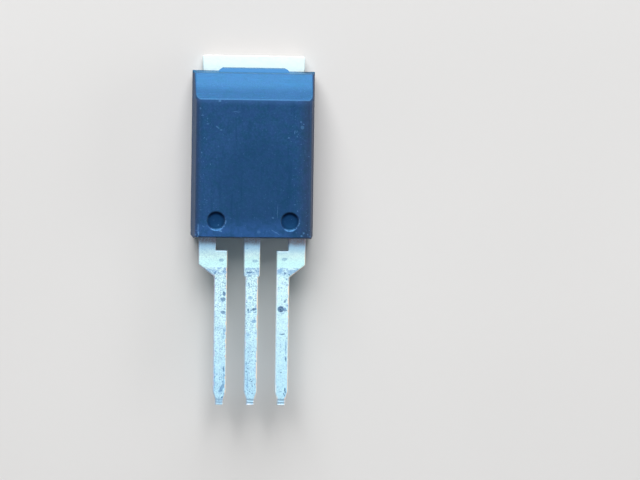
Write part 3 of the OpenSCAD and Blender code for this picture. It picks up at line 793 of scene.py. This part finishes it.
def tin_material(name, stains):
    """Tin plating, tinted cyan by painted blue light; smooth near the case; from the dip line on it is
    grainy, dotted and stained.
    """
    n = Nodes(name)
    place = n.place()
    x, y, z = n.split(place)
    nx, _, nz = n.facing()
    wander = n.noise(place, 1.6, 2, 0.5)
    blotch = n.noise(place, 3.2, 2, 0.55)
    brushed = n.noise(place, 5.0, 2, 0.5)
    gritty = n.noise(place, 9.0, 2, 0.6)
    crumbled = n.noise(place, 14.0, 2, 0.6)
    front = n.steps(z, LEAD_MID_Z, LEAD_MID_Z + 0.1)
    flat = n.steps(n.math("ABSOLUTE", nz), 0.5, 0.8)
    outside = n.steps(y, CASE_Y0 + 0.3, CASE_Y0)
    ragged_y = n.plus(y, n.times(n.minus(wander, 0.5), 0.2))
    dipped = n.steps(ragged_y, DIP_Y + 0.04, DIP_Y - 0.04)
    undipped = n.steps(ragged_y, DIP_Y - 0.04, DIP_Y + 0.04)
    less_on_source = n.steps(x, 1.4, 2.0, 1.0, 0.6)

    # Smooth and dipped plating, with its grain, dots and stains
    # The cyan of the plating's colours is painted blue light
    colour = n.mix(n.steps(brushed, 0.3, 0.7), rgb(207, 245, 249), rgb(223, 255, 255))
    colour = n.mix(n.steps(y, DIP_Y, TIP_Y, 0.0, 0.6), colour, rgb(166, 219, 246))
    smooth_end = n.times(n.steps(y, CASE_Y0 - 1.2, DIP_Y + 0.3), undipped)
    colour = n.tint(colour, smooth_end, 0.85, rgb(208, 255, 255))
    band = n.times(n.steps(ragged_y, DIP_Y - 0.75, DIP_Y - 0.35), n.steps(blotch, 0.38, 0.52), dipped)
    colour = n.tint(colour, band, 0.7, rgb(144, 186, 224))
    patches = n.times(n.steps(blotch, 0.58, 0.68), dipped)
    colour = n.tint(colour, patches, 0.35, rgb(156, 200, 238))
    grain = n.times(n.steps(crumbled, 0.48, 0.64), n.plus(n.times(dipped, 0.5), 0.5), less_on_source)
    colour = n.tint(colour, grain, 0.65, rgb(126, 170, 210))
    clusters = n.most(n.steps(n.noise(place, 0.9, 2, 0.6), 0.35, 0.6, 0.35, 1.0), band)
    dots = n.most(n.dots(place, 5.2, 0.05, 0.5), n.times(n.dots(place, 8.5, 0.036, 0.6), 0.7))
    dots = n.times(dots, flat, clusters, less_on_source, n.plus(n.times(dipped, 0.7), 0.3))
    colour = n.tint(colour, dots, 0.85, rgb(88, 134, 180))
    stain = n.times(n.spots(n.ragged(place, 8.0, 0.055), stains), front, outside)
    stain = n.math("POWER", n.times(stain, n.steps(crumbled, 0.42, 0.6, 1.0, 0.55)), 0.72)
    colour = n.mix(stain, colour, n.mix(stain, rgb(66, 146, 218), rgb(22, 56, 98)))

    # Rolled edges with painted rim highlights, and the pinched tip with painted shade on its lines
    edge = n.times(n.attribute("edge"), outside)
    rim = n.steps(edge, 0.96, 0.999)
    beside_rim = n.times(n.minus(n.steps(edge, 0.1, 0.8), rim), n.steps(blotch, 0.35, 0.6), dipped)
    colour = n.tint(colour, beside_rim, 0.5, rgb(144, 186, 228))
    # Painted rim highlights: rims facing left lavender on the gate lead and whitish on the source lead; rims
    # facing right a warm painted reflection
    painted_left_rim_highlight = n.mix(n.steps(x, -2.0, 2.0), rgb(190, 194, 222), rgb(236, 246, 255))
    painted_rim_highlight_and_reflection = n.mix(n.steps(nx, -0.3, 0.3), painted_left_rim_highlight, rgb(248, 224, 202))
    colour = n.tint(colour, rim, 0.8, painted_rim_highlight_and_reflection)
    colour = n.tint(colour, n.times(pinch_lines_painted_shade(n, ragged_y), front), 0.5, rgb(132, 172, 206))
    tip = n.times(n.steps(y, TIP_Y + 0.6, TIP_Y + 0.4), front)
    colour = n.tint(colour, tip, 0.4, rgb(146, 176, 200))

    # Beside the case: a painted blue shade, and a painted grainy grey shadow of the case where the leads come
    # out
    shade = n.times(n.steps(y, CASE_Y0 - 1.5, CASE_Y0 - 0.5), outside)
    colour = n.tint(colour, shade, 0.6, rgb(146, 206, 255))
    # Painted shadow of the case: grainy grey on the leads where they come out, lighter on the source lead
    beside_case = n.steps(n.plus(y, n.times(wander, 0.3)), CASE_Y0 - 0.6, CASE_Y0 + 0.05)
    painted_case_shadow = n.times(beside_case, outside)
    painted_case_shadow_colour = n.mix(n.steps(x, 2.0, 3.0), rgb(148, 148, 162), rgb(174, 162, 172))
    colour = n.mix(n.times(painted_case_shadow, n.steps(gritty, 0.4, 0.6, 0.6, 1.0)), colour, painted_case_shadow_colour)

    # Heat spreader, bright but for the sheared end of the tab
    plate = n.steps(outside, 1.0, 0.0)
    colour = n.tint(colour, plate, 0.8, rgb(225, 240, 240))
    colour = n.tint(colour, n.steps(y, TAB_Y - 0.1, TAB_Y - 0.04), 0.6, rgb(182, 170, 166))
    sheared = n.steps(y, TAB_Y - 0.02, TAB_Y - 0.004)
    colour = n.tint(colour, sheared, 0.9, rgb(134, 130, 128))

    dark = n.most(dots, stain, painted_case_shadow, sheared)
    rough = n.plus(n.steps(brushed, 0.3, 0.7, 0.44, 0.54), n.times(dark, 0.2))
    height = n.minus(n.times(brushed, 0.3), n.times(dark, 0.6))
    return n.finish(colour, rough, n.bump(height, 0.4, 0.012), Metallic=0.55)


def plain_material(name, colours, roughness, metallic, scale, depth):
    """Material of a piece inside the case: two tones, two degrees of roughness and a fine bump."""
    n = Nodes(name)
    place = n.place()
    broad = n.noise(place, scale, 3, 0.6)
    fine = n.noise(place, scale * 6, 2, 0.6)
    colour = n.mix(n.steps(broad, 0.3, 0.7), *colours)
    rough = n.steps(fine, 0.3, 0.7, *roughness)
    return n.finish(colour, rough, n.bump(fine, 0.4, depth), Metallic=metallic)


def floor_material():
    n = Nodes("floor")
    place = n.place()
    broad = n.noise(place, 0.02, 2, 0.5)
    fine = n.noise(place, 1.5, 2, 0.5)
    colour = n.mix(n.steps(broad, 0.3, 0.7), (0.66, 0.655, 0.65, 1), (0.69, 0.685, 0.68, 1))
    return n.finish(colour, n.steps(fine, 0.3, 0.7, 0.85, 0.95), n.bump(fine, 0.05, 0.02))


def dress(obj, material):
    obj.data.materials.clear()
    obj.data.materials.append(material)


# The pieces

case = make_case()
header = make_header()
gate = outer_lead("gate_lead_form", -1, GATE_POST_IN, pinch=0.5)
source = outer_lead("source_lead_form", 1, SOURCE_POST_IN, pinch=1.0)
pieces = {"moulded_case": case, "drain_header": header, "gate_lead": gate, "source_lead": source}
for node, piece in pieces.items():
    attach(piece, "root")
    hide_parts(node)

dress(case, mould_material())
dress(header, tin_material("plated_copper_drain", DRAIN_STAINS))
dress(gate, tin_material("plated_copper_gate", GATE_STAINS))
dress(source, tin_material("plated_copper_source", SOURCE_STAINS))

# The pieces inside the case keep their CAD shape
solder = plain_material(
    "solder", [(0.50, 0.51, 0.53, 1), (0.62, 0.63, 0.65, 1)],
    roughness=(0.35, 0.5), metallic=1.0, scale=2.0, depth=0.01,
)
silicon = plain_material(
    "silicon", [(0.16, 0.17, 0.22, 1), (0.24, 0.24, 0.30, 1)],
    roughness=(0.12, 0.22), metallic=0.6, scale=1.0, depth=0.001,
)
wire = plain_material(
    "bond_wire", [(0.74, 0.75, 0.77, 1), (0.84, 0.85, 0.86, 1)],
    roughness=(0.25, 0.4), metallic=1.0, scale=4.0, depth=0.003,
)
inside = {"die_attach_solder": solder, "silicon_die": silicon}
for name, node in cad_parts.items():
    material = wire if "bond_wire" in name else inside.get(name)
    if material:
        node.data.materials.clear()
        node.data.materials.append(material)

# Plain studio: pale floor and a soft world, which is bright only to the camera and in reflections

floor_mesh = bmesh.new()
bmesh.ops.create_grid(floor_mesh, x_segments=4, y_segments=4, size=1.5)
floor = mesh_object("studio_floor", floor_mesh)
FLOOR_DROP = 0.01 * MM
floor.location.z = -FLOOR_DROP
floor.data.materials.append(floor_material())

WORLD_LIGHT, WORLD_SEEN = 0.11, 0.7
world = bpy.data.worlds.new("studio")
bpy.context.scene.world = world
world.use_nodes = True
tree = world.node_tree
background = tree.nodes["Background"]
path = tree.nodes.new("ShaderNodeLightPath")
seen = tree.nodes.new("ShaderNodeMath")
seen.operation = "MAXIMUM"
tree.links.new(path.outputs["Is Camera Ray"], seen.inputs[0])
tree.links.new(path.outputs["Is Glossy Ray"], seen.inputs[1])
strength = tree.nodes.new("ShaderNodeMapRange")
tree.links.new(seen.outputs[0], strength.inputs["Value"])
strength.inputs["To Min"].default_value = WORLD_LIGHT
strength.inputs["To Max"].default_value = WORLD_SEEN
tree.links.new(strength.outputs["Result"], background.inputs["Strength"])
background.inputs["Color"].default_value = (1.0, 1.0, 1.0, 1.0)


def soft_lamp(name, elevation, azimuth, width, height, power, distance=0.6):
    """Rectangular lamp that faces the part; azimuth is measured from +Y towards -X; metres and watts."""
    data = bpy.data.lights.new(name, "AREA")
    data.shape = "RECTANGLE"
    data.size, data.size_y = width, height
    data.energy = power
    lamp = bpy.data.objects.new(name, data)
    bpy.context.scene.collection.objects.link(lamp)
    up, turn = math.radians(elevation), math.radians(azimuth)
    direction = Vector((-math.sin(turn) * math.cos(up), math.cos(turn) * math.cos(up), math.sin(up)))
    lamp.location = direction * distance
    lamp.rotation_euler = direction.to_track_quat("Z", "Y").to_euler()


# A large lamp and a low one beyond the tab, and a weak one on the source lead's side
soft_lamp("key", 45, 8, width=0.5, height=0.5, power=4.9)
soft_lamp("low_key", 17, 0, width=0.6, height=0.2, power=2.6)
soft_lamp("side_fill", 22, -95, width=0.5, height=0.2, power=0.6)

# Camera, nearly straight above, 0.2 m away: its tilts in degrees, and the part's place before it in mm
TILT_X, TILT_Y, TILT_Z = 2.58, 3.35, -0.84
PART_BEFORE_CAMERA = (-5.603, 8.506, -200.0)

camera_data = bpy.data.cameras.new("camera")
camera_data.lens = 135.6
camera_data.sensor_width = 36.0
camera_data.clip_start, camera_data.clip_end = 0.01, 10.0
camera = bpy.data.objects.new("camera", camera_data)
bpy.context.scene.collection.objects.link(camera)
tilt = Matrix.Identity(4)
for angle, axis in ((TILT_X, "X"), (TILT_Y, "Y"), (TILT_Z, "Z")):
    tilt = tilt @ Matrix.Rotation(math.radians(angle), 4, axis)
camera.matrix_world = (Matrix.Translation(Vector(PART_BEFORE_CAMERA) * MM) @ tilt).inverted()
bpy.context.scene.camera = camera

bpy.context.scene.view_settings.view_transform = "Standard"
